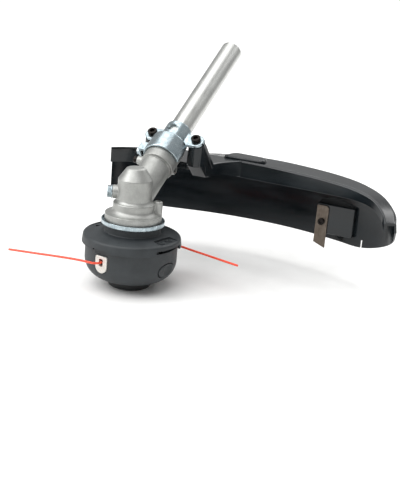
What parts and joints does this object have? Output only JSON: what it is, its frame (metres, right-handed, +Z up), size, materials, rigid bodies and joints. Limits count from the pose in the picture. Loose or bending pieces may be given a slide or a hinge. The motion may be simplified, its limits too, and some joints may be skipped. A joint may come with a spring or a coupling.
{
  "type": "string trimmer lower unit",
  "caption": "String trimmer working end: shaft tube, angled bevel gear case, bump-feed cutting head with two line strands, clamp strap, and curved guard with a line cutter.",
  "frame": {"origin": "centre of the bump knob's flat bottom face, on the spindle axis", "axes": "+Z up along the spindle axis; +Y is the horizontal direction in which the shaft tube rises, towards the operator; +X is to the operator's left, where the guard's long side is"},
  "size_m": [0.365, 0.3072, 0.2469],
  "materials": {
    "tube_aluminium": "drawn and satin anodised",
    "cast_aluminium": "die cast, fine blasted",
    "zinc_steel": "bright zinc plated",
    "bright_steel": "ground",
    "black_steel": "black oxide, oiled",
    "blade_steel": "hardened strip, dark",
    "eyelet_steel": "sintered metal, matte",
    "bush_bronze": "sintered bronze",
    "guard_plastic": "glossy blue-black polypropylene",
    "head_nylon": "charcoal glass-filled nylon",
    "knob_nylon": "black nylon",
    "spool_nylon": "black nylon",
    "seal_rubber": "moulded nitrile",
    "line_nylon": "extruded coral-red nylon"
  },
  "bodies": {
    "frame": {"shaft_tube": "tube_aluminium", "lower_shaft_bush": "bush_bronze", "upper_shaft_bush": "bush_bronze", "front_pinion_bearing": "bright_steel", "rear_pinion_bearing": "bright_steel", "upper_spindle_bearing": "bright_steel", "lower_spindle_bearing": "bright_steel", "pinion_circlip": "black_steel", "case_circlip": "black_steel", "oil_seal": "seal_rubber", "gear_case": "cast_aluminium", "grease_plug": "zinc_steel", "locating_screw": "black_steel", "pinch_bolt": "black_steel", "clamp_strap": "zinc_steel", "clamp_screw_right": "black_steel", "clamp_screw_left": "black_steel", "strap_tab_bolt": "black_steel", "strap_tab_nut": "zinc_steel", "guard": "guard_plastic", "cutter_blade": "blade_steel", "blade_screw": "black_steel"},
    "cutting_head": {"spindle": "bright_steel", "output_gear": "bright_steel", "receiver_washer": "zinc_steel", "head_lid": "head_nylon", "arbor_insert": "bright_steel", "head_body": "head_nylon", "eyelet_front": "eyelet_steel", "eyelet_rear": "eyelet_steel", "head_spring": "bright_steel", "line_strand_front": "line_nylon", "line_strand_rear": "line_nylon"},
    "drive_line": {"pinion_gear": "bright_steel", "drive_shaft": "bright_steel"},
    "bump_knob": {"bump_knob": "knob_nylon"},
    "line_spool": {"spool": "spool_nylon", "line_winding": "line_nylon"},
    "latch_right": {"latch_right": "head_nylon"},
    "latch_left": {"latch_left": "head_nylon"}
  },
  "joints": [
    {"name": "spindle_spin", "type": "hinge", "parent": "frame", "child": "cutting_head", "pos_m": [0, 0, 0.0941], "axis": [0, 0, 1], "continuous": true},
    {"name": "pinion_spin", "type": "hinge", "parent": "frame", "child": "drive_line", "pos_m": [0, 0, 0.0941], "axis": [0, 0.848, 0.5299], "continuous": true},
    {"name": "bump_knob_press", "type": "slide", "parent": "cutting_head", "child": "bump_knob", "axis": [0, 0, 1], "range_m": [0, 0.006], "stiffness_N_per_m": 3000, "springref_m": -0.004, "deforming": ["head_spring"]},
    {"name": "spool_index", "type": "hinge", "parent": "bump_knob", "child": "line_spool", "pos_m": [0, 0, 0.03], "axis": [0, 0, 1], "continuous": true},
    {"name": "latch_right_press", "type": "slide", "parent": "cutting_head", "child": "latch_right", "axis": [-0.9698, 0.171, 0.1736], "range_m": [0, 0.0025], "stiffness_N_per_m": 2000},
    {"name": "latch_left_press", "type": "slide", "parent": "cutting_head", "child": "latch_left", "axis": [0.9698, -0.171, 0.1736], "range_m": [0, 0.0025], "stiffness_N_per_m": 2000}
  ],
  "couplings": [
    {"joint": "pinion_spin", "follows": "spindle_spin", "ratio": -1.3571}
  ]
}
